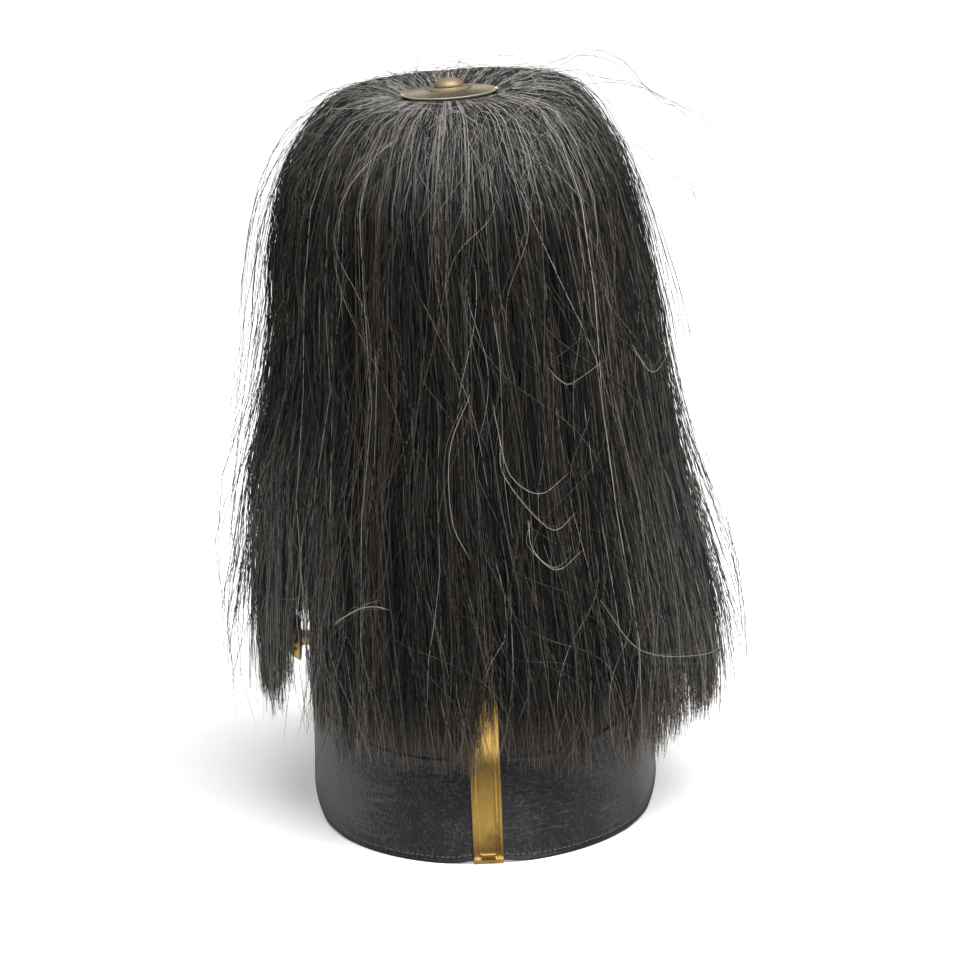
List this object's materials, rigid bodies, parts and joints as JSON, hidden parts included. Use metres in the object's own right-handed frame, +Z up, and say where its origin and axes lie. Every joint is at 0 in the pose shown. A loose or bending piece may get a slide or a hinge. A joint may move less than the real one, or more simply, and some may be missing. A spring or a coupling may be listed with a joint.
{
  "type": "pickelhaube",
  "caption": "Black leather helmet with two visors, a brass rear spine and side bosses, under a long falling hair plume with a ribbed metal cap and knob.",
  "frame": {"origin": "centre of the bounding box at its bottom: the surface on which the visor edges and the spine's hook stand", "axes": "+Z up along the plume, -Y where the wearer faces, +X the wearer's left, the brass spine at the back on +Y"},
  "size_m": [0.2678, 0.2775, 0.3916],
  "materials": {
    "black_leather": "lacquered black leather with fine grain and crackle, worn at the edge",
    "gold_brass": "satin golden brass with brown stains",
    "aged_brass": "dull khaki tarnished brass",
    "horsehair": "coarse black-brown horsehair with bleached tips"
  },
  "bodies": {
    "root": {"skull_shell": "black_leather", "rear_visor": "black_leather", "front_visor": "black_leather", "rear_spine": "gold_brass", "side_boss_left": "gold_brass", "side_boss_right": "gold_brass", "plume_post": "aged_brass", "plume": "horsehair", "plume_cap": "aged_brass", "plume_knob": "aged_brass"}
  },
  "joints": []
}
